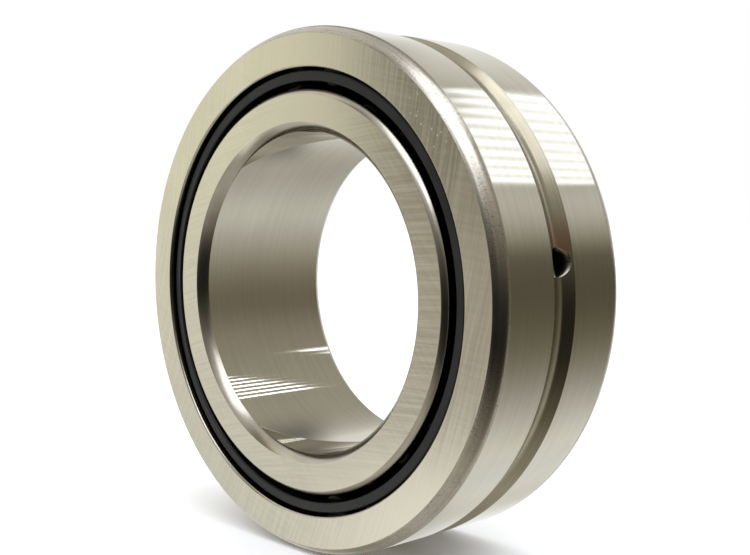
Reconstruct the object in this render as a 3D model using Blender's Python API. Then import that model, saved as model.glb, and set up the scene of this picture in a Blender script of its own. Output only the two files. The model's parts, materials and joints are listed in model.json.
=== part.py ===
"""Machined needle roller bearing with an inner ring.

Two rings, a window cage and its needle rollers, each one a closed solid of its own. Metres, +Z up.
The bearing stands on its rim with its axis along Y and its front face towards -Y. The origin is the
centre of the bearing, and every turning piece has its own origin on the axis that it turns about.
"""

import math

import bmesh
import bpy
from mathutils import Matrix, Vector

# The boundary size of the bearing, and the rolling set inside it.
BORE_DIAMETER = 0.040
OUTSIDE_DIAMETER = 0.065
WIDTH = 0.022
INNER_RACEWAY_DIAMETER = 0.050
ROLLER_DIAMETER = 0.005
ROLLER_LENGTH = 0.0158
ROLLER_COUNT = 22

# The outer ring: its chamfered rim, its ribs, and the groove and hole that oil comes in by.
RIM_CHAMFER_RADIAL = 0.0010
RIM_CHAMFER_AXIAL = 0.00185
RIB_BORE_RADIUS = 0.02755
RIB_EDGE = 0.0002
RIB_TO_ROLLER_END = 0.0002
GROOVE_WIDTH = 0.0038
GROOVE_DEPTH = 0.0008
GROOVE_WALL_ANGLE = math.radians(30)
OIL_HOLE_DIAMETER = 0.0033
OIL_HOLE_ANGLE = math.radians(8.6)

# The inner ring's edges.
BORE_CHAMFER_RADIAL = 0.00105
BORE_CHAMFER_AXIAL = 0.00125
RACEWAY_EDGE = 0.0006

# The cage, and the room that it leaves around each roller.
CAGE_OUTER_RADIUS = 0.0272
CAGE_INNER_RADIUS = 0.0259
CAGE_RECESS = 0.00065
CAGE_EDGE = 0.00015
POCKET_SIDE_ROOM = 0.0001
POCKET_END_ROOM = 0.00015

# The rollers: a broken edge at each end, and the radial play that a running bearing has.
ROLLER_EDGE = 0.0004
RADIAL_PLAY = 0.00004

# Flats that stand for each circle.
RING_FLATS = 96
CAGE_FLATS = 5 * ROLLER_COUNT
ROLLER_FLATS = 20
HOLE_FLATS = 24

HALF_WIDTH = WIDTH / 2
HALF_ROLLER = ROLLER_LENGTH / 2
RIM_RADIUS = OUTSIDE_DIAMETER / 2
BORE_RADIUS = BORE_DIAMETER / 2
INNER_RACEWAY_RADIUS = INNER_RACEWAY_DIAMETER / 2
OUTER_RACEWAY_RADIUS = INNER_RACEWAY_RADIUS + ROLLER_DIAMETER
PITCH_RADIUS = INNER_RACEWAY_RADIUS + ROLLER_DIAMETER / 2


def clear_scene():
    for obj in list(bpy.data.objects):
        bpy.data.objects.remove(obj, do_unlink=True)


def surface(name, colour, roughness, metallic):
    material = bpy.data.materials.new(name)
    material.use_nodes = True
    shader = material.node_tree.nodes["Principled BSDF"]
    shader.inputs["Base Color"].default_value = (*colour, 1)
    shader.inputs["Roughness"].default_value = roughness
    shader.inputs["Metallic"].default_value = metallic
    return material


def finish(mesh, material):
    """Gives a mesh its material, with its round faces smooth and its edges sharp."""
    mesh.materials.append(material)
    mesh.shade_smooth()
    mesh.set_sharp_from_angle(angle=math.radians(20))


def add_object(name, mesh):
    obj = bpy.data.objects.new(name, mesh)
    bpy.context.scene.collection.objects.link(obj)
    return obj


def turned(name, profile, flats):
    """The mesh of a closed (radius, y) profile spun round the Y axis.

    Each radius is the distance from the axis to the middle of a flat, so the corners between two
    flats lie a little further out. One flat faces straight up and another straight down.
    """
    half_step = Matrix.Rotation(math.pi / flats, 3, "Y")
    to_corner = 1 / math.cos(math.pi / flats)
    bm = bmesh.new()
    points = [bm.verts.new(half_step @ Vector((0, y, radius * to_corner))) for radius, y in profile]
    outline = [bm.edges.new(pair) for pair in zip(points, points[1:] + points[:1])]
    bmesh.ops.spin(
        bm,
        geom=points + outline,
        axis=(0, 1, 0),
        cent=(0, 0, 0),
        steps=flats,
        angle=2 * math.pi,
        use_merge=True,
    )
    bmesh.ops.remove_doubles(bm, verts=bm.verts, dist=1e-6)
    bmesh.ops.recalc_face_normals(bm, faces=bm.faces)
    mesh = bpy.data.meshes.new(name)
    bm.to_mesh(mesh)
    bm.free()
    return mesh


def bar(name, radius, length, flats, edge=0):
    """The mesh of a round bar along Y, centred on the origin, with its end edges broken by edge."""
    bm = bmesh.new()
    bmesh.ops.create_cone(
        bm,
        cap_ends=True,
        segments=flats,
        radius1=radius,
        radius2=radius,
        depth=length,
        matrix=Matrix.Rotation(math.pi / 2, 4, "X"),
    )
    if edge:
        ends = [face for face in bm.faces if len(face.verts) == flats]
        rims = [rim_edge for face in ends for rim_edge in face.edges]
        bmesh.ops.bevel(bm, geom=rims, offset=edge, segments=1, affect="EDGES")
    mesh = bpy.data.meshes.new(name)
    bm.to_mesh(mesh)
    bm.free()
    return mesh


def front_and_back(front):
    """The points of a profile's front half, then their mirror images in the bearing's middle plane."""
    return front + [(radius, -y) for radius, y in reversed(front)]


def cut(obj, name, cutter_mesh):
    """Takes a mesh out of an object, by a Boolean that stays on the object."""
    cutter = add_object(name, cutter_mesh)
    cutter.hide_render = True
    cutter.display_type = "WIRE"
    modifier = obj.modifiers.new(name, "BOOLEAN")
    modifier.operation = "DIFFERENCE"
    modifier.solver = "EXACT"
    modifier.object = cutter


def add_outer_ring(material):
    """The housing-side ring: an oil groove round its rim, and a rib at each end of the raceway."""
    groove_edge = GROOVE_WIDTH / 2
    groove_floor = groove_edge - GROOVE_DEPTH / math.tan(GROOVE_WALL_ANGLE)
    rib_wall = HALF_ROLLER + RIB_TO_ROLLER_END
    rim = [
        (RIM_RADIUS - RIM_CHAMFER_RADIAL, -HALF_WIDTH),
        (RIM_RADIUS, -HALF_WIDTH + RIM_CHAMFER_AXIAL),
        (RIM_RADIUS, -groove_edge),
        (RIM_RADIUS - GROOVE_DEPTH, -groove_floor),
    ]
    bore = [
        (OUTER_RACEWAY_RADIUS, -rib_wall),
        (RIB_BORE_RADIUS, -rib_wall),
        (RIB_BORE_RADIUS, -HALF_WIDTH + RIB_EDGE),
        (RIB_BORE_RADIUS + RIB_EDGE, -HALF_WIDTH),
    ]
    back_to_front = [(radius, -y) for radius, y in reversed(bore)] + bore
    mesh = turned("outer_ring", front_and_back(rim) + back_to_front, RING_FLATS)
    finish(mesh, material)
    ring = add_object("outer_ring", mesh)

    # The drill lies along X through the ring's wall, then turns up to the hole's place.
    drill = bar("oil_hole_drill", OIL_HOLE_DIAMETER / 2, RIM_RADIUS / 2, HOLE_FLATS)
    drill.transform(Matrix.Rotation(math.pi / 2, 4, "Z"))
    drill.transform(Matrix.Translation((RIM_RADIUS, 0, 0)))
    drill.transform(Matrix.Rotation(-OIL_HOLE_ANGLE, 4, "Y"))
    cut(ring, "oil_hole_drill", drill)


def add_inner_ring(material):
    """The shaft-side ring: a plain sleeve whose outside is the inner raceway."""
    profile = front_and_back(
        [
            (BORE_RADIUS, -HALF_WIDTH + BORE_CHAMFER_AXIAL),
            (BORE_RADIUS + BORE_CHAMFER_RADIAL, -HALF_WIDTH),
            (INNER_RACEWAY_RADIUS - RACEWAY_EDGE, -HALF_WIDTH),
            (INNER_RACEWAY_RADIUS, -HALF_WIDTH + RACEWAY_EDGE),
        ]
    )
    mesh = turned("inner_ring", profile, RING_FLATS)
    finish(mesh, material)
    add_object("inner_ring", mesh)


def roller_angle(index):
    """How far a roller lies round from +X towards +Z, so that the oil hole comes between two."""
    return 2 * math.pi * index / ROLLER_COUNT


def add_cage(material):
    """One moulded sleeve with a window for each roller, whose sides hug the roller."""
    front = -HALF_WIDTH + CAGE_RECESS
    profile = front_and_back(
        [
            (CAGE_INNER_RADIUS, front + CAGE_EDGE),
            (CAGE_INNER_RADIUS + CAGE_EDGE, front),
            (CAGE_OUTER_RADIUS - CAGE_EDGE, front),
            (CAGE_OUTER_RADIUS, front + CAGE_EDGE),
        ]
    )
    mesh = turned("cage", profile, CAGE_FLATS)
    finish(mesh, material)
    sleeve = add_object("cage", mesh)

    pocket_radius = ROLLER_DIAMETER / 2 + POCKET_SIDE_ROOM
    pocket_length = ROLLER_LENGTH + 2 * POCKET_END_ROOM
    pockets = bmesh.new()
    for index in range(ROLLER_COUNT):
        pocket = bar("pocket", pocket_radius, pocket_length, ROLLER_FLATS)
        pocket.transform(Matrix.Translation((PITCH_RADIUS, 0, 0)))
        pocket.transform(Matrix.Rotation(-roller_angle(index), 4, "Y"))
        pockets.from_mesh(pocket)
        bpy.data.meshes.remove(pocket)
    cutter = bpy.data.meshes.new("cage_windows")
    pockets.to_mesh(cutter)
    pockets.free()
    cut(sleeve, "cage_windows", cutter)


def add_rollers(material):
    """The needle rollers. They share one mesh, and each has its origin on its own axis."""
    radius = ROLLER_DIAMETER / 2 - RADIAL_PLAY
    mesh = bar("needle_roller", radius, ROLLER_LENGTH, ROLLER_FLATS, ROLLER_EDGE)
    finish(mesh, material)
    for index in range(ROLLER_COUNT):
        angle = roller_angle(index)
        roller = add_object(f"needle_roller_{index + 1:02d}", mesh)
        roller.location = (PITCH_RADIUS * math.cos(angle), 0, PITCH_RADIUS * math.sin(angle))
        roller.rotation_euler = (0, -angle, 0)


clear_scene()
add_outer_ring(surface("ground_outer_steel", (0.56, 0.54, 0.49), 0.30, 1))
add_inner_ring(surface("ground_inner_steel", (0.58, 0.56, 0.51), 0.28, 1))
add_cage(surface("black_cage_polymer", (0.014, 0.014, 0.016), 0.45, 0))
add_rollers(surface("lapped_roller_steel", (0.62, 0.61, 0.58), 0.15, 1))
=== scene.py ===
"""The looks of a machined needle roller bearing with an inner ring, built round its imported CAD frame.

Each CAD piece is rebuilt as a fine mesh: the same sides, with real rounded edges between them, and a
finish for each kind of side. Metres, in the frame's own coordinates, with the bearing's axis along Y
and its front face towards -Y.
"""

import json
import math

import bmesh
import bpy
from mathutils import Matrix, Vector


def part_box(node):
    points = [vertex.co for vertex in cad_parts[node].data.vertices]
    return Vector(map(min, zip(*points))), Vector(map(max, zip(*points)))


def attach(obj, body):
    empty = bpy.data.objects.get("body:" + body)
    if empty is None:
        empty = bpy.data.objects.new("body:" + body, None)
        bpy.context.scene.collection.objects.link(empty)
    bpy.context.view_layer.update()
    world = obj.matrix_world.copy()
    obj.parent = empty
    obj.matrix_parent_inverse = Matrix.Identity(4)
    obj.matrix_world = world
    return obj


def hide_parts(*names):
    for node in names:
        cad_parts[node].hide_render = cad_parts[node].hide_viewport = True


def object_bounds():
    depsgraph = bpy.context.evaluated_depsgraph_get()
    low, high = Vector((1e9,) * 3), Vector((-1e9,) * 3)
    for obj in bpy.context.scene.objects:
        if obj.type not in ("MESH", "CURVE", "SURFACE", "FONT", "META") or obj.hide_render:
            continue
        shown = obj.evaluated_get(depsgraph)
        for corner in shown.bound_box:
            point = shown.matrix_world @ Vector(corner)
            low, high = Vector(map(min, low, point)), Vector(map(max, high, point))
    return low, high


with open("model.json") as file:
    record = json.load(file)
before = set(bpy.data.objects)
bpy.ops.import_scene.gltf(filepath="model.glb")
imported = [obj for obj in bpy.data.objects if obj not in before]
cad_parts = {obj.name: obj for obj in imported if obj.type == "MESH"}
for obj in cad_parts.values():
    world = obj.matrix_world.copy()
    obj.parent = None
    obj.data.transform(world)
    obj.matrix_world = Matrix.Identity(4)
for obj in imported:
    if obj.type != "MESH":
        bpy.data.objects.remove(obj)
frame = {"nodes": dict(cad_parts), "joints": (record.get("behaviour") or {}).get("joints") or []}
cad_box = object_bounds()

# The bearing's main sizes, from the frame.
RIM_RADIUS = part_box("outer_ring")[1].z
HALF_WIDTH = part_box("outer_ring")[1].y
TRACK_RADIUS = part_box("inner_ring")[1].z
ROLLERS = sorted(name for name in frame["nodes"] if name.startswith("needle_roller"))
ROLLER_JOINTS = {joint["child"]: joint for joint in frame["joints"]}

# What tells a ring's corners apart. The outer ring's outside lies beyond OUTSIDE_RADIUS, and its
# groove's floor below BELOW_RIM and within GROOVE_ZONE of the middle. Chamfers reach past FACE_ZONE.
OUTSIDE_RADIUS = TRACK_RADIUS + 0.006
BELOW_RIM = RIM_RADIUS - 1e-5
GROOVE_ZONE = 0.3 * HALF_WIDTH
FACE_ZONE = 0.9 * HALF_WIDTH

# Lengths and angles smaller than these are nothing, and coordinates are rounded to so many decimals.
NO_LENGTH = 1e-6
NO_ANGLE = 1e-4
DECIMALS = 6

# The oil hole, as it is drilled in the outer ring, with its edge broken by HOLE_EDGE.
HOLE_RADIUS = 0.00165
HOLE_ANGLE = math.radians(8.6)
HOLE_EDGE = 0.00008
DRILL_LENGTH = 0.01

# How far the edges that the CAD leaves sharp are rounded. An arc takes at most so much of a side.
EDGE_RADIUS = 0.00007
GROOVE_FLOOR_RADIUS = 0.0019
CAGE_EDGE_RADIUS = 0.0002
ROLLER_EDGE_RADIUS = 0.0009
ARC_SHARE = 0.48
ARC_STEPS = 4

# Half the angle that a chamfer turns through as it bows out: on the outer ring's outside, and elsewhere.
OUTER_BOW = math.radians(26)
INNER_BOW = math.radians(14)
BOW_STEPS = 12

# The cage's window round a roller leaves this room at its ends and at its sides.
WINDOW_END_ROOM = 0.00015
WINDOW_SIDE_ROOM = 0.00014

# How fine the round surfaces are. The outer ring's steps are finer round its hole.
INNER_RING_STEPS = 360
OUTER_RING_STEP = math.radians(1)
NEAR_HOLE_STEP = math.radians(0.25)
NEAR_HOLE = math.radians(4.5)
CAGE_STEPS_PER_ROLLER = 12
ROLLER_STEPS = 48
WINDOW_SIDES = 48
HOLE_SIDES = 72


# ---------------------------------------------------------------------------------------------
# Sections, turned meshes and cuts
# ---------------------------------------------------------------------------------------------


def section(node, near):
    """A turned node's (radius, y) corners, in order round the section nearest to an angle.

    The CAD's circles are flats, whose corners lie outside the true circle. A flat faces straight
    up, so the top of the node's box gives the true radius, and the corners are brought in by it.
    """
    mesh = frame["nodes"][node].data
    angles = [math.atan2(vertex.co.z, vertex.co.x) for vertex in mesh.vertices]
    angle = min(angles, key=lambda found: abs(found - near))
    keys = {}
    for vertex, found in zip(mesh.vertices, angles):
        if abs(found - angle) < NO_ANGLE:
            radius = math.hypot(vertex.co.x, vertex.co.z)
            keys[vertex.index] = (round(radius, DECIMALS), round(vertex.co.y, DECIMALS))
    beside = {key: set() for key in keys.values()}
    for edge in mesh.edges:
        first, second = (keys.get(index) for index in edge.vertices)
        if first and second and first != second:
            beside[first].add(second)
            beside[second].add(first)
    corners = [min(beside, key=lambda key: (key[1], key[0]))]
    while True:
        onward = beside[corners[-1]] - set(corners)
        if not onward:
            break
        corners.append(max(onward, key=lambda key: key[0]))
    true_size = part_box(node)[1].z / max(radius for radius, _ in corners)
    return [Vector((radius * true_size, y)) for radius, y in corners]


def side_of(corners, index):
    return corners[(index + 1) % len(corners)] - corners[index]


def slopes(side):
    """Whether a side is neither along the axis nor square to it."""
    return abs(side.x) > NO_LENGTH and abs(side.y) > NO_LENGTH


def is_chamfer(corners, index):
    """A sloping side that reaches a face. The groove's walls slope too, but stay straight."""
    side = side_of(corners, index)
    return slopes(side) and max(abs(corners[index].y), abs((corners[index] + side).y)) > FACE_ZONE


def is_groove_floor(corner):
    return OUTSIDE_RADIUS < corner.x < BELOW_RIM and abs(corner.y) < GROOVE_ZONE


def rounded(corners, radius_at):
    """The section with an arc at each corner and bowed chamfers.

    It is a list of (point, which side leads on from it). radius_at gives each corner's radius.
    """
    outline = []
    for index, corner in enumerate(corners):
        back = corners[index - 1] - corner
        onward = side_of(corners, index)
        reach = radius_at(corner) / math.tan(back.angle(onward) / 2)
        reach = min(reach, ARC_SHARE * back.length, ARC_SHARE * onward.length)
        start = corner + back.normalized() * reach
        end = corner + onward.normalized() * reach
        for step in range(ARC_STEPS + 1):
            t = step / ARC_STEPS
            outline.append((start * (1 - t) ** 2 + corner * 2 * t * (1 - t) + end * t**2, index))
        if is_chamfer(corners, index):
            outline.extend((point, index) for point in bowed(corner, onward, turning_way(corners)))
    return outline


def bowed(corner, chamfer, way):
    """The points between a chamfer's ends, on an arc that bows outwards."""
    outward = Vector((chamfer.y, -chamfer.x)).normalized() * way
    bow = OUTER_BOW if corner.x > OUTSIDE_RADIUS else INNER_BOW
    arc_radius = chamfer.length / 2 / math.sin(bow)
    points = []
    for step in range(1, BOW_STEPS):
        from_middle = (step / BOW_STEPS - 0.5) * chamfer.length
        rise = math.sqrt(arc_radius**2 - from_middle**2) - arc_radius * math.cos(bow)
        along = chamfer.normalized() * (from_middle + chamfer.length / 2)
        points.append(corner + along + outward * rise)
    return points


def turning_way(points):
    """1 if the points go round anticlockwise, with radius to the right and y upwards, otherwise -1."""
    doubled_area = sum(a.x * b.y - b.x * a.y for a, b in zip(points, points[1:] + points[:1]))
    return math.copysign(1.0, doubled_area)


def outline_normals(points):
    """The outward normal at each point of an outline. Long sides outweigh short ones, and stay flat."""
    way = turning_way(points)
    sides = [after - point for point, after in zip(points, points[1:] + points[:1])]
    weighted = [Vector((side.y, -side.x)) * way * side.length for side in sides]
    return [(before + after).normalized() for before, after in zip(weighted[-1:] + weighted, weighted)]


def even_angles(count):
    return [2 * math.pi * step / count for step in range(count)]


def angles_close_by(centre, spread, fine, coarse):
    """Angles all the way round, a fine step apart near centre and a coarse step apart elsewhere."""
    angles = []
    angle = centre - spread
    while angle < centre - spread + 2 * math.pi - coarse / 2:
        angles.append(angle)
        angle += fine if angle < centre + spread else coarse
    return angles


def add_row(bm, angle, points):
    """Adds (radius, y) points to a bmesh, in the half plane at an angle round the axis."""
    across = Vector((math.cos(angle), 0, math.sin(angle)))
    return [bm.verts.new(across * point.x + Vector((0, point.y, 0))) for point in points]


def new_mesh(name, bm):
    """A bmesh made into a mesh, and freed."""
    mesh = bpy.data.meshes.new(name)
    bm.to_mesh(mesh)
    bm.free()
    return mesh


def turned(name, outline, angles, finishes):
    """A closed section turned round the Y axis. finishes gives each side's material index."""
    bm = bmesh.new()
    rows = [add_row(bm, angle, [point for point, _ in outline]) for angle in angles]
    for row, next_row in zip(rows, rows[1:] + rows[:1]):
        for index, (_, side) in enumerate(outline):
            after = (index + 1) % len(outline)
            face = bm.faces.new((row[index], row[after], next_row[after], next_row[index]))
            face.material_index = finishes[side]
            face.smooth = True
    bmesh.ops.recalc_face_normals(bm, faces=bm.faces)
    return new_mesh(name, bm)


def bar(radius, length, sides, middle):
    """A round bar along Y as a bmesh, for cutting with."""
    bm = bmesh.new()
    bmesh.ops.create_cone(
        bm,
        cap_ends=True,
        segments=sides,
        radius1=radius,
        radius2=radius,
        depth=length,
        matrix=Matrix.Translation(middle) @ Matrix.Rotation(math.pi / 2, 4, "X"),
    )
    return bm


def add_object(name, data):
    obj = bpy.data.objects.new(name, data)
    bpy.context.scene.collection.objects.link(obj)
    return obj


def cut(obj, cutter_bm):
    """Takes a bmesh out of an object for good. The faces that the cut makes get the last finish."""
    cut_finish = len(obj.data.materials) - 1
    for face in cutter_bm.faces:
        face.material_index = cut_finish
        face.smooth = True
    mesh = new_mesh("cutter", cutter_bm)
    for finish in obj.data.materials:
        mesh.materials.append(finish)
    cutter = add_object("cutter", mesh)
    modifier = obj.modifiers.new("cut", "BOOLEAN")
    modifier.operation = "DIFFERENCE"
    modifier.solver = "EXACT"
    modifier.object = cutter
    bpy.context.view_layer.update()
    graph = bpy.context.evaluated_depsgraph_get()
    result = bpy.data.meshes.new_from_object(obj.evaluated_get(graph), depsgraph=graph)
    obj.modifiers.clear()
    obj.data = result
    bpy.data.objects.remove(cutter, do_unlink=True)


def break_cut_edges(obj, width):
    """Breaks the sharp edges between the cut's own faces and the faces that it went through."""
    cut_finish = len(obj.data.materials) - 1
    bm = bmesh.new()
    bm.from_mesh(obj.data)
    rim = [
        edge
        for edge in bm.edges
        if len(edge.link_faces) == 2
        and (edge.link_faces[0].material_index == cut_finish)
        != (edge.link_faces[1].material_index == cut_finish)
    ]
    bmesh.ops.bevel(
        bm, geom=rim, offset=width, segments=3, affect="EDGES", clamp_overlap=True, material=cut_finish
    )
    bm.to_mesh(obj.data)
    bm.free()


def share_along(place, first, second):
    """How far along the line between two points a place lies, from 0 at the first to 1."""
    side = second - first
    return min(max((place - first).dot(side) / side.length_squared, 0), 1)


def distance_to(place, first, second):
    """The distance from a place to the line between two points, in the plane of a section."""
    return (place - first - (second - first) * share_along(place, first, second)).length


def shade_turned(obj, outline):
    """Gives every point of the turned surface the normal of its section, whatever was cut beside it."""
    mesh = obj.data
    mesh.shade_smooth()
    cut_finish = len(mesh.materials) - 1
    turned_points = set()
    for face in mesh.polygons:
        if face.material_index != cut_finish:
            turned_points.update(face.vertices)
    points = [point for point, _ in outline]
    ends = list(zip(points, points[1:] + points[:1]))
    normals = outline_normals(points)
    normals = list(zip(normals, normals[1:] + normals[:1]))
    shaded = []
    for vertex in mesh.vertices:
        if vertex.index not in turned_points:
            shaded.append(vertex.normal)
            continue
        across = Vector((vertex.co.x, 0, vertex.co.z)).normalized()
        place = Vector((across.dot(vertex.co), vertex.co.y))
        found = min(range(len(ends)), key=lambda side: distance_to(place, *ends[side]))
        first, second = normals[found]
        normal = first.lerp(second, share_along(place, *ends[found])).normalized()
        shaded.append(across * normal.x + Vector((0, normal.y, 0)))
    mesh.normals_split_custom_set_from_vertices(shaded)


def keep_sides_flat(obj):
    """Weights each corner's normal by its faces' areas, so that rounding shows only on the edges."""
    obj.data.set_sharp_from_angle(angle=math.radians(40))
    modifier = obj.modifiers.new("flat_sides", "WEIGHTED_NORMAL")
    modifier.mode = "FACE_AREA"
    modifier.weight = 50
    modifier.keep_sharp = True


def stand_for(obj, node):
    """Puts a fine piece in the place of a CAD node."""
    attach(obj, node)
    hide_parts(node)


# ---------------------------------------------------------------------------------------------
# Materials
# ---------------------------------------------------------------------------------------------

# Each finish varies between two colours, the paler of which comes first.
GROUND_ROUND_COLOURS = (0.58, 0.56, 0.48), (0.54, 0.52, 0.44)
GROUND_FACE_COLOURS = (0.59, 0.565, 0.475), (0.55, 0.53, 0.45)
CHAMFER_COLOURS = (0.50, 0.47, 0.40), (0.42, 0.39, 0.325)
GROOVE_COLOURS = (0.37, 0.342, 0.255), (0.31, 0.285, 0.205)
DRILLED_COLOURS = (0.36, 0.33, 0.28), (0.26, 0.23, 0.19)
CAGE_COLOURS = (0.0055, 0.006, 0.008), (0.0025, 0.0025, 0.0035)
# The rollers' steel is darker than the rings', partly as painted shade for rollers that lie deep between the
# rings.
FLANK_COLOURS = (0.44, 0.43, 0.40), (0.36, 0.35, 0.32)
# Painted shade: the rollers' ends are near black for the shade deep in the gap between the rings and the
# cage.
ROLLER_END_SHADE_COLOURS = (0.030, 0.027, 0.024), (0.012, 0.011, 0.010)

# The marks on the rings, and where the steel is scratched and where it is stained.
SCRATCH_COLOUR = (0.92, 0.91, 0.87, 1)
SPECK_COLOUR = (0.85, 0.82, 0.75, 1)
STAIN_COLOUR = (0.30, 0.16, 0.09, 1)
SCRATCHED_PLACE = (0.0224, -0.011, 0.0196)
STAINED_PLACE = (0.0313, 0.0009, 0.0072)

# How rough the finishes are that both rings have.
FACE_ROUGHNESS = 0.165
CHAMFER_ROUGHNESS = 0.21
GROOVE_ROUGHNESS = 0.25
DRILLED_ROUGHNESS = 0.28

# A roller's flank ends this far from its middle, over a short fade. Past it the ends are painted near black
# as shade, where they lie deep between the rings and the cage, and they are rougher.
ROLLER_FLANK = 0.0066
FLANK_FADE = 0.0002
ROLLER_END_ROUGHNESS = (0.34, 0.34, 0.34, 1)

# What a shader's own sockets are set to. Ground steel blurs a reflection along Y, not round it.
STEEL = {"Metallic": 1.0}
GROUND_STEEL = {"Metallic": 1.0, "Anisotropic": 0.9, "Anisotropic Rotation": 0.25}
POLYMER = {"Specular IOR Level": 0.35}
FLOOR = {"Base Color": (0.90, 0.90, 0.89, 1), "Roughness": 0.9}


class Graph:
    """Short calls that add nodes to a shader's tree."""

    def __init__(self, tree):
        self.tree = tree

    def add(self, kind, inputs=None, output=0, **settings):
        """Adds a node, sets or links its inputs by name or number, and returns one output."""
        node = self.tree.nodes.new("ShaderNode" + kind)
        for key, value in settings.items():
            setattr(node, key, value)
        for key, value in (inputs or {}).items():
            if isinstance(value, bpy.types.NodeSocket):
                self.tree.links.new(value, node.inputs[key])
            else:
                node.inputs[key].default_value = value
        return node.outputs[output]

    def math(self, operation, first, second=0.0):
        return self.add("Math", {0: first, 1: second}, operation=operation)

    def plus(self, first, second):
        return self.math("ADD", first, second)

    def times(self, first, second):
        return self.math("MULTIPLY", first, second)

    def length(self, x, z):
        return self.math("SQRT", self.plus(self.times(x, x), self.times(z, z)))

    def ease(self, value, low, high, start=0.0, end=1.0):
        """start below low, end above high, and a smooth rise or fall between them."""
        limits = {"Value": value, "From Min": low, "From Max": high, "To Min": start, "To Max": end}
        return self.add("MapRange", limits, interpolation_type="SMOOTHSTEP")

    def fall(self, value, low, high):
        """1 below low, 0 above high, and a smooth fall between them."""
        return self.ease(value, low, high, 1.0, 0.0)

    def mix(self, share, first, second):
        inputs = {0: share, 6: first, 7: second}
        return self.add("Mix", inputs, output=2, data_type="RGBA", clamp_factor=True)

    def between(self, share, colours):
        """The darker colour of a pair where share is 0, and the paler one where it is 1."""
        pale, dark = colours
        return self.mix(share, (*dark, 1), (*pale, 1))

    def multiply(self, first, second):
        """One colour darkened by another, or by a grey."""
        inputs = {0: 1.0, 6: first, 7: second}
        return self.add("Mix", inputs, output=2, data_type="RGBA", blend_type="MULTIPLY")

    def without(self, colour, share):
        """A colour with a share of its light taken away."""
        return self.multiply(colour, self.math("SUBTRACT", 1.0, share))

    def split(self, vector):
        node = self.tree.nodes.new("ShaderNodeSeparateXYZ")
        self.tree.links.new(vector, node.inputs[0])
        return node.outputs

    def place(self):
        """The piece's own coordinates."""
        return self.add("TexCoord", output=3)

    def distance(self, place, point):
        return self.add("VectorMath", {0: place, 1: point}, output=1, operation="DISTANCE")

    def noise(self, vector, scale, detail, roughness):
        inputs = {"Vector": vector, "Scale": scale, "Detail": detail, "Roughness": roughness}
        return self.add("TexNoise", inputs)

    def lines(self, x, y, z, detail, roughness):
        """Noise on coordinates that are stretched already, so that it draws out into lines."""
        stretched = self.add("CombineXYZ", {0: x, 1: y, 2: z})
        return self.noise(stretched, scale=1.0, detail=detail, roughness=roughness)

    def streaks(self, fine):
        """Lines round the Y axis, so many to the metre across."""
        x, y, z = self.split(self.place())
        radius = self.length(x, z)
        round_x = self.math("DIVIDE", x, radius)
        round_z = self.math("DIVIDE", z, radius)
        across = self.times(self.plus(y, radius), fine)
        return self.lines(round_x, across, round_z, detail=4.0, roughness=0.65)

    def arcs(self, centre, fine, along, detail, roughness):
        """Lines on a side face, along circles about an (x, z) centre: so many to the metre across
        them, and so many breaks to the radian along them."""
        x, _, z = self.split(self.place())
        away_x = self.math("SUBTRACT", x, centre[0])
        away_z = self.math("SUBTRACT", z, centre[1])
        across = self.times(self.length(away_x, away_z), fine)
        turn = self.times(self.math("ARCTAN2", away_z, away_x), along)
        return self.lines(across, turn, 0.0, detail, roughness)

    def bump(self, height, depth):
        return self.add("Bump", {"Distance": depth, "Height": height})


def material(name, constants):
    """A new Principled material, with constants on its sockets: (the material, its graph, its shader)."""
    made = bpy.data.materials.new(name)
    made.use_nodes = True
    shader = made.node_tree.nodes["Principled BSDF"]
    for socket, value in constants.items():
        shader.inputs[socket].default_value = value
    return made, Graph(made.node_tree), shader


def link(graph, shader, **sockets):
    names = {"colour": "Base Color", "roughness": "Roughness", "normal": "Normal", "tangent": "Tangent"}
    for key, output in sockets.items():
        graph.tree.links.new(output, shader.inputs[names[key]])


def ground_round(name, colours, roughness):
    """Cylindrically ground steel: fine lines round the axis, which draw reflections out across them."""
    made, graph, shader = material(name, GROUND_STEEL)
    lines = graph.streaks(1900.0)
    mottle = graph.noise(graph.place(), scale=90.0, detail=3.0, roughness=0.55)
    tone = graph.between(graph.ease(mottle, 0.3, 0.7), colours)
    link(
        graph,
        shader,
        colour=graph.multiply(tone, graph.ease(lines, 0.25, 0.75, 0.95, 1.03)),
        roughness=graph.ease(lines, 0.2, 0.8, roughness * 0.9, roughness * 1.15),
        normal=graph.bump(lines, depth=0.0000004),
        tangent=graph.add("Tangent", direction_type="RADIAL", axis="Y"),
    )
    return made


def ground_face(name, colours, roughness, wheel_centres):
    """A side face ground flat: two passes of shallow arcs, and short bright scratches in one place."""
    made, graph, shader = material(name, STEEL)
    strong, faint = (
        graph.arcs(centre, fine=2600.0, along=14.0, detail=3.0, roughness=0.6) for centre in wheel_centres
    )
    lines = graph.plus(graph.times(strong, 0.7), graph.times(faint, 0.3))
    place = graph.place()
    mottle = graph.noise(place, scale=60.0, detail=3.0, roughness=0.6)
    tone = graph.between(graph.ease(mottle, 0.3, 0.7), colours)
    dashes = graph.arcs((0.0, 0.0), fine=1500.0, along=45.0, detail=1.0, roughness=0.5)
    away = graph.distance(place, SCRATCHED_PLACE)
    scratches = graph.times(graph.ease(dashes, 0.66, 0.72), graph.ease(away, 0.0022, 0.0055, 0.8, 0.0))
    grained = graph.multiply(tone, graph.ease(lines, 0.3, 0.7, 0.90, 1.05))
    link(
        graph,
        shader,
        colour=graph.mix(scratches, grained, SCRATCH_COLOUR),
        roughness=graph.ease(lines, 0.3, 0.7, roughness - 0.03, roughness + 0.05),
        normal=graph.bump(lines, depth=0.0000016),
    )
    return made


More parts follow.
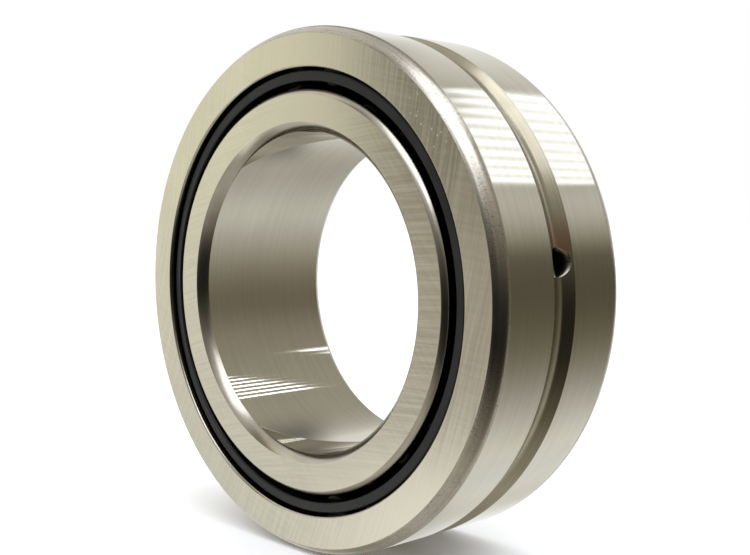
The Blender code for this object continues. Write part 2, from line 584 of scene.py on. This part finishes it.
def turned_steel(name, colours, roughness, pitting):
    """Steel left as it was turned and hardened: tool lines, a fine grain and, where it is pitted, specks."""
    made, graph, shader = material(name, STEEL)
    place = graph.place()
    cloud = graph.noise(place, scale=260.0, detail=2.0, roughness=0.5)
    grain = graph.noise(place, scale=6000.0, detail=2.0, roughness=0.6)
    pits = graph.noise(place, scale=3800.0, detail=2.0, roughness=0.6)
    specks = graph.noise(place, scale=3600.0, detail=2.0, roughness=0.5)
    lines = graph.streaks(2600.0)
    pits = graph.ease(pits, 0.30, 0.42)
    specks = graph.ease(specks, 0.68, 0.74)
    stain = graph.ease(graph.distance(place, STAINED_PLACE), 0.0006, 0.0030, 0.55, 0.0)
    tone = graph.between(graph.ease(lines, 0.3, 0.7), colours)
    tone = graph.multiply(tone, graph.ease(cloud, 0.3, 0.7, 0.93, 1.05))
    tone = graph.mix(stain, tone, STAIN_COLOUR)
    tone = graph.multiply(tone, graph.ease(pits, 0.0, 1.0, 1.0 - pitting, 1.0))
    height = graph.times(graph.plus(pits, graph.times(grain, 4.5)), pitting)
    height = graph.plus(height, graph.times(lines, 0.3))
    link(
        graph,
        shader,
        colour=graph.mix(graph.times(specks, pitting), tone, SPECK_COLOUR),
        roughness=graph.ease(cloud, 0.3, 0.7, roughness + 0.02, roughness - 0.02),
        normal=graph.bump(height, depth=0.000006),
    )
    return made


def cage_polymer():
    """Moulded black polymer: a faint sheen, a fine grain and paler scuffs."""
    made, graph, shader = material("cage_polymer", POLYMER)
    place = graph.place()
    grain = graph.noise(place, scale=4200.0, detail=3.0, roughness=0.6)
    cloud = graph.noise(place, scale=260.0, detail=3.0, roughness=0.6)
    link(
        graph,
        shader,
        colour=graph.between(graph.ease(cloud, 0.45, 0.75), CAGE_COLOURS),
        roughness=graph.ease(cloud, 0.3, 0.7, 0.30, 0.44),
        normal=graph.bump(grain, depth=0.000003),
    )
    return made


def roller_steel():
    """A lapped flank with the faintest lines round it, and ends painted near black as shade, where they lie
    deep between the rings and the cage.
    """
    made, graph, shader = material("roller_steel", STEEL)
    lines = graph.streaks(4000.0)
    _, y, _ = graph.split(graph.place())
    # Past ROLLER_FLANK the roller takes the painted shade colour of its ends.
    end = graph.ease(graph.math("ABSOLUTE", y), ROLLER_FLANK, ROLLER_FLANK + FLANK_FADE)
    flank = graph.between(lines, FLANK_COLOURS)
    link(
        graph,
        shader,
        colour=graph.mix(end, flank, graph.between(lines, ROLLER_END_SHADE_COLOURS)),
        roughness=graph.mix(end, graph.ease(lines, 0.2, 0.8, 0.12, 0.20), ROLLER_END_ROUGHNESS),
        normal=graph.bump(lines, depth=0.0000004),
    )
    return made


# ---------------------------------------------------------------------------------------------
# The pieces
# ---------------------------------------------------------------------------------------------

# A ring's finishes, by their place in its list of materials.
GROUND_ROUND, GROUND_FACE, CHAMFER, GROOVE, DRILLED = range(5)

# The (x, z) centres of the arcs that the grinding wheel left on each ring's faces, the stronger first.
OUTER_WHEELS = [(-0.17, 0.05), (0.06, 0.20)]
INNER_WHEELS = [(0.03, -0.20), (0.15, 0.12)]


def ring_materials(name, wheel_centres, round_roughness, pitting):
    """A ring's finishes, in the order of the numbers above. pitting is how pitted its chamfers are."""
    return [
        ground_round(f"{name}_ground_round", GROUND_ROUND_COLOURS, round_roughness),
        ground_face(f"{name}_ground_face", GROUND_FACE_COLOURS, FACE_ROUGHNESS, wheel_centres),
        turned_steel(f"{name}_chamfer", CHAMFER_COLOURS, CHAMFER_ROUGHNESS, pitting),
        turned_steel(f"{name}_groove", GROOVE_COLOURS, GROOVE_ROUGHNESS, pitting=0.03),
        turned_steel(f"{name}_drilled", DRILLED_COLOURS, DRILLED_ROUGHNESS, pitting=0.2),
    ]


def ring_finishes(corners):
    """Each side's finish: cylinders and side faces are ground, and chamfers and the groove are turned."""
    finishes = []
    for index, corner in enumerate(corners):
        side = side_of(corners, index)
        if is_chamfer(corners, index):
            finishes.append(CHAMFER)
        elif slopes(side):
            finishes.append(GROOVE)
        elif abs(side.x) > NO_LENGTH:
            finishes.append(GROUND_FACE)
        else:
            finishes.append(GROOVE if is_groove_floor(corner) else GROUND_ROUND)
    return finishes


def ring_edge(corner):
    """How far a corner of a ring is rounded. The groove's floor runs into its walls in a wide sweep."""
    return GROOVE_FLOOR_RADIUS if is_groove_floor(corner) else EDGE_RADIUS


def turned_ring(node, angles, finishes):
    """A ring turned from its CAD section, and the outline that it was turned from."""
    corners = section(node, -math.pi / 2)
    outline = rounded(corners, ring_edge)
    mesh = turned(f"{node}_fine", outline, angles, ring_finishes(corners))
    for finish in finishes:
        mesh.materials.append(finish)
    return add_object(f"{node}_fine", mesh), outline


def add_outer_ring():
    finishes = ring_materials("outer", OUTER_WHEELS, round_roughness=0.085, pitting=0.45)
    angles = angles_close_by(HOLE_ANGLE, NEAR_HOLE, NEAR_HOLE_STEP, OUTER_RING_STEP)
    ring, outline = turned_ring("outer_ring", angles, finishes)
    drill = bar(HOLE_RADIUS, DRILL_LENGTH, HOLE_SIDES, (0, -RIM_RADIUS, 0))
    bmesh.ops.rotate(drill, verts=drill.verts, matrix=Matrix.Rotation(math.pi / 2, 3, "Z"))
    bmesh.ops.rotate(drill, verts=drill.verts, matrix=Matrix.Rotation(-HOLE_ANGLE, 3, "Y"))
    cut(ring, drill)
    break_cut_edges(ring, HOLE_EDGE)
    shade_turned(ring, outline)
    stand_for(ring, "outer_ring")


def add_inner_ring():
    finishes = ring_materials("inner", INNER_WHEELS, round_roughness=0.040, pitting=0.04)
    ring, outline = turned_ring("inner_ring", even_angles(INNER_RING_STEPS), finishes)
    shade_turned(ring, outline)
    stand_for(ring, "inner_ring")


def roller_place(node):
    return Vector(ROLLER_JOINTS[node]["pos_m"])


def add_cage(polymer):
    """The cage's sleeve, with a window round each roller."""
    between_rollers = math.pi / len(ROLLERS)
    corners = section("cage", between_rollers)
    outline = rounded(corners, lambda corner: CAGE_EDGE_RADIUS)
    one_finish = [0] * len(corners)
    mesh = turned("cage_fine", outline, even_angles(CAGE_STEPS_PER_ROLLER * len(ROLLERS)), one_finish)
    mesh.materials.append(polymer)
    sleeve = add_object("cage_fine", mesh)
    low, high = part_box(ROLLERS[0])
    half_window = high.y + WINDOW_END_ROOM
    window_radius = (high.z - low.z) / 2 + WINDOW_SIDE_ROOM
    windows = bmesh.new()
    for node in ROLLERS:
        window = new_mesh("window", bar(window_radius, 2 * half_window, WINDOW_SIDES, roller_place(node)))
        windows.from_mesh(window)
        bpy.data.meshes.remove(window)
    cut(sleeve, windows)
    keep_sides_flat(sleeve)
    stand_for(sleeve, "cage")


def roller_mesh():
    """A roller turned from a half section, with flat ends that run into its flank in wide arcs."""
    low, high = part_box(ROLLERS[0])
    radius = (high.x - low.x) / 2
    corners = [Vector((0.0, low.y)), Vector((radius, low.y)), Vector((radius, high.y)), Vector((0.0, high.y))]
    outline = rounded(corners, lambda corner: ROLLER_EDGE_RADIUS)
    profile = [point for point, side in outline if side in (1, 2)]
    bm = bmesh.new()
    rows = [add_row(bm, angle, profile) for angle in even_angles(ROLLER_STEPS)]
    for row, after in zip(rows, rows[1:] + rows[:1]):
        for index in range(len(profile) - 1):
            bm.faces.new((row[index], row[index + 1], after[index + 1], after[index]))
    bm.faces.new([row[0] for row in rows])
    bm.faces.new([row[-1] for row in rows])
    bmesh.ops.recalc_face_normals(bm, faces=bm.faces)
    for face in bm.faces:
        face.smooth = True
    return new_mesh("roller", bm)


def add_rollers(steel):
    """The rollers, which share one mesh."""
    mesh = roller_mesh()
    mesh.materials.append(steel)
    for node in ROLLERS:
        roller = add_object(f"{node}_fine", mesh)
        roller.location = roller_place(node)
        keep_sides_flat(roller)
        stand_for(roller, node)


# ---------------------------------------------------------------------------------------------
# The studio
# ---------------------------------------------------------------------------------------------

CAMERA_PLACE = Vector((0.10367, -0.09745, 0.01063))
CAMERA_AIM = Vector((-0.7328, 0.6730, -0.1001))
CAMERA_LENS = 52.58
CAMERA_SHIFT = (0.0370, 0.0542)
CAMERA_CLIP = 0.005

FLOOR_RADIUS = 3.0
FLOOR_GAP = 0.00002

# Lamps overhead. Their places and sizes are shares of their height, and their radiances are levels
# beside a white backdrop of 1. Each bank is a row of tubes that run along Y: the first tube's x, the
# pitch, how much of it a tube fills, the first tube's ends, and how much longer each next tube is.
LAMP_HEIGHT = 1.5
COOL_WHITE = (0.96, 1.0, 1.14)
FRONT_BANK = {
    "first": 0.466,
    "pitch": 0.060,
    "fill": 0.30,
    "tubes": 7,
    "ends": (0.30, 0.797),
    "stagger": 0.0095,
    "radiance": 4.5,
}
BACK_BANK = {
    "first": 0.805,
    "pitch": 0.1080,
    "fill": 0.46,
    "tubes": 10,
    "ends": (1.08, 1.90),
    "stagger": 0.0,
    "radiance": 2.0,
}
BACK_PANEL = {"x": 0.319, "ends": (1.10, 1.90), "width": 1.08, "radiance": 0.60}
FRONT_PANEL = {"x": 0.50, "ends": (-0.95, 0.30), "width": 1.05, "radiance": 2.0}

# How bright the room is, by degrees round the Y axis from +X towards +Z, for directions that slant
# far to the back (which the rim mirrors), less far (the bore), and little or forwards (the chamfers).
RIM_VIEW = [
    (-180, 1.00),
    (-144, 1.30),
    (-123, 0.74),
    (-102, 1.09),
    (-80, 1.08),
    (-57, 0.66),
    (-33, 0.25),
    (-9, 0.13),
    (14, 0.13),
    (24, 0.38),
    (38, 0.85),
    (52, 0.72),
    (96, 0.60),
    (109, 0.80),
    (131, 0.95),
    (180, 1.00),
]
BORE_VIEW = [
    (-180, 0.90),
    (-160, 0.85),
    (-136, 0.75),
    (-117, 0.62),
    (-98, 0.60),
    (-79, 0.70),
    (-60, 0.88),
    (-42, 0.67),
    (-23, 0.42),
    (-5, 0.26),
    (13, 0.21),
    (32, 0.38),
    (50, 0.41),
    (69, 0.50),
    (106, 0.48),
    (125, 0.56),
    (144, 0.80),
    (164, 1.60),
    (180, 1.20),
]
LOW_VIEW = [
    (-180, 1.00),
    (-139, 1.05),
    (-121, 0.30),
    (-102, 0.62),
    (-81, 0.80),
    (-60, 0.47),
    (-40, 0.12),
    (-25, 0.02),
    (-6, 0.01),
    (6, 0.03),
    (22, 0.28),
    (36, 0.60),
    (60, 0.80),
    (90, 0.80),
    (120, 0.78),
    (140, 1.15),
    (180, 1.00),
]

# How far a direction slants to the back (its y) where one of those gives way to the next.
LOW_TO_BORE = (0.42, 0.56)
BORE_TO_RIM = (0.685, 0.725)

# A darker wedge of the room to the left: over which turns it comes in, where it ends, and how dark.
WEDGE_TURN = (100.0, 135.0)
WEDGE_END = (0.63, 0.66)
WEDGE_LOSS = 0.65

# The room is the paler tint where its tone is above a span, and the browner one below it.
PALE_TINT = (1.0, 0.985, 0.94)
DARK_TINT = (1.0, 0.88, 0.64)
TINT_FROM = 0.22
TINT_SPAN = 0.45

# The front of the room, which the faces mirror. A direction's y says that it is in front, its z how
# high it is, and "right" how many degrees it is to the right of straight in front (-Y). Each span is
# where one colour gives way to another: pale low and high, white in a low corner, and dim beside it.
FRONT_Y = (-0.50, -0.25)
FRONT_RIGHT = (-33.0, -18.0)
PALE_Z = (-0.25, 0.12)
PALE_LOW = (0.96, 0.955, 0.91, 1)
PALE_HIGH = (1.17, 1.15, 0.96, 1)
CORNER_RIGHT = (-49.0, -45.0)
CORNER_Z = (-0.25, -0.21)
CORNER_WHITE = (1.45, 1.43, 1.40, 1)
DIM_RIGHT = (-47.6, -46.0)
DIM_EDGE_Z = (-0.245, -0.17)
DIM_Z = (-0.10, 0.12)
DIM_LOW = (0.57, 0.53, 0.455, 1)
DIM_HIGH = (0.25, 0.23, 0.19, 1)

# The room's front right, which is darkest at the height of the bearing.
SHADE_Y = (-0.55, -0.30)
SHADE_RIGHT = (-30.0, -16.0)
SHADE_Z = (0.35, 0.60)
SHADE_LOSS = 0.62

# What matt surfaces are lit by, and the backdrop that the camera sees.
EVEN_LIGHT = (1.25, 1.25, 1.25, 1)
BACKDROP = (1.0, 1.0, 1.0, 1)


def add_camera():
    data = bpy.data.cameras.new("camera")
    data.sensor_width = 36
    data.lens = CAMERA_LENS
    data.shift_x, data.shift_y = CAMERA_SHIFT
    data.clip_start = CAMERA_CLIP
    camera = add_object("camera", data)
    camera.location = CAMERA_PLACE
    camera.rotation_euler = CAMERA_AIM.to_track_quat("-Z", "Y").to_euler()
    bpy.context.scene.camera = camera


def add_floor():
    """A plain pale floor just under the bearing, which the steel doesn't mirror."""
    bm = bmesh.new()
    bmesh.ops.create_circle(bm, cap_ends=True, segments=96, radius=FLOOR_RADIUS)
    mesh = new_mesh("floor", bm)
    made, _, _ = material("pale_floor", FLOOR)
    mesh.materials.append(made)
    floor = add_object("floor", mesh)
    floor.location = (0, 0, cad_box[0].z - FLOOR_GAP)
    floor.visible_glossy = False


def area_light(name, x, ends, width, radiance):
    """A lamp that faces straight down, between two ends along Y."""
    data = bpy.data.lights.new(name, "AREA")
    data.shape = "RECTANGLE"
    data.size = width * LAMP_HEIGHT
    data.size_y = (ends[1] - ends[0]) * LAMP_HEIGHT
    data.energy = radiance * math.pi * data.size * data.size_y
    data.color = COOL_WHITE
    lamp = add_object(name, data)
    lamp.location = Vector((x, sum(ends) / 2, 1)) * LAMP_HEIGHT


def add_bank(name, bank):
    near, far = bank["ends"]
    for index in range(bank["tubes"]):
        area_light(
            f"{name}_{index + 1:02d}",
            x=bank["first"] - index * bank["pitch"],
            ends=(near, far + index * bank["stagger"]),
            width=bank["fill"] * bank["pitch"],
            radiance=bank["radiance"],
        )


def add_lamps():
    """Two banks of tubes, which show as stripes along the bore and along the rim, and two panels."""
    add_bank("front_tube", FRONT_BANK)
    add_bank("back_tube", BACK_BANK)
    area_light("back_panel", **BACK_PANEL)
    area_light("front_panel", **FRONT_PANEL)


def tinted(tone):
    """A grey of the room, which is browner where it is darker."""
    light = min(max((tone - TINT_FROM) / TINT_SPAN, 0.0), 1.0)
    return (*(tone * (dark + (pale - dark) * light) for dark, pale in zip(DARK_TINT, PALE_TINT)), 1.0)


def room_view(graph, share_round, tones):
    """The room's colour by the share of a turn round the Y axis."""
    node = graph.tree.nodes.new("ShaderNodeValToRGB")
    node.color_ramp.interpolation = "B_SPLINE"
    stops = node.color_ramp.elements
    stops[0].color = tinted(tones[0][1])
    stops[1].color = tinted(tones[-1][1])
    for degrees, tone in tones[1:-1]:
        stops.new((degrees + 180) / 360).color = tinted(tone)
    graph.tree.links.new(share_round, node.inputs[0])
    return node.outputs[0]


def room_around(graph, turn, y):
    """The sides and back of the room."""
    share_round = graph.add("Math", {0: turn, 1: 1 / 360, 2: 0.5}, operation="MULTIPLY_ADD")
    low, bore, rim = (room_view(graph, share_round, tones) for tones in (LOW_VIEW, BORE_VIEW, RIM_VIEW))
    past_low = graph.ease(y, *LOW_TO_BORE)
    room = graph.mix(past_low, low, bore)
    room = graph.mix(graph.ease(y, *BORE_TO_RIM), room, rim)
    wedge = graph.ease(graph.math("ABSOLUTE", turn), *WEDGE_TURN)
    wedge = graph.times(wedge, graph.ease(y, *WEDGE_END, WEDGE_LOSS, 0.0))
    return graph.without(room, graph.times(wedge, past_low))


def room_in_front(graph, right, z):
    """The front of the room: pale, white in a low corner, and dim where the photographer stands."""
    pale = graph.mix(graph.ease(z, *PALE_Z), PALE_LOW, PALE_HIGH)
    corner = graph.times(graph.ease(right, *CORNER_RIGHT), graph.fall(z, *CORNER_Z))
    pale = graph.mix(corner, pale, CORNER_WHITE)
    dim = graph.times(graph.ease(right, *DIM_RIGHT), graph.ease(z, *DIM_EDGE_Z))
    return graph.mix(dim, pale, graph.mix(graph.ease(z, *DIM_Z), DIM_LOW, DIM_HIGH))


def add_surroundings():
    """A pale room that is dark to the bearing's right, told by direction.

    Only shiny surfaces see it. The camera itself sees only the plain pale backdrop.
    """
    world = bpy.data.worlds.new("studio")
    bpy.context.scene.world = world
    world.use_nodes = True
    tree = world.node_tree
    graph = Graph(tree)
    x, y, z = graph.split(graph.add("TexCoord", output=0))
    turn = graph.math("DEGREES", graph.math("ARCTAN2", z, x))
    right = graph.math("DEGREES", graph.math("ARCTAN2", x, graph.times(y, -1.0)))
    shade = graph.times(graph.fall(y, *SHADE_Y), graph.ease(right, *SHADE_RIGHT))
    shade = graph.times(shade, graph.ease(graph.math("ABSOLUTE", z), *SHADE_Z, SHADE_LOSS, 0.0))
    room = graph.without(room_around(graph, turn, y), shade)
    in_front = graph.times(graph.fall(y, *FRONT_Y), graph.fall(right, *FRONT_RIGHT))
    room = graph.mix(in_front, room, room_in_front(graph, right, z))

    ray = tree.nodes.new("ShaderNodeLightPath")
    seen = graph.mix(ray.outputs["Is Glossy Ray"], EVEN_LIGHT, room)
    seen = graph.mix(ray.outputs["Is Camera Ray"], seen, BACKDROP)
    tree.links.new(seen, tree.nodes["Background"].inputs["Color"])


add_camera()
add_surroundings()
add_lamps()
add_floor()
add_outer_ring()
add_inner_ring()
add_cage(cage_polymer())
add_rollers(roller_steel())
bpy.context.scene.view_settings.view_transform = "Standard"

bpy.context.view_layer.update()
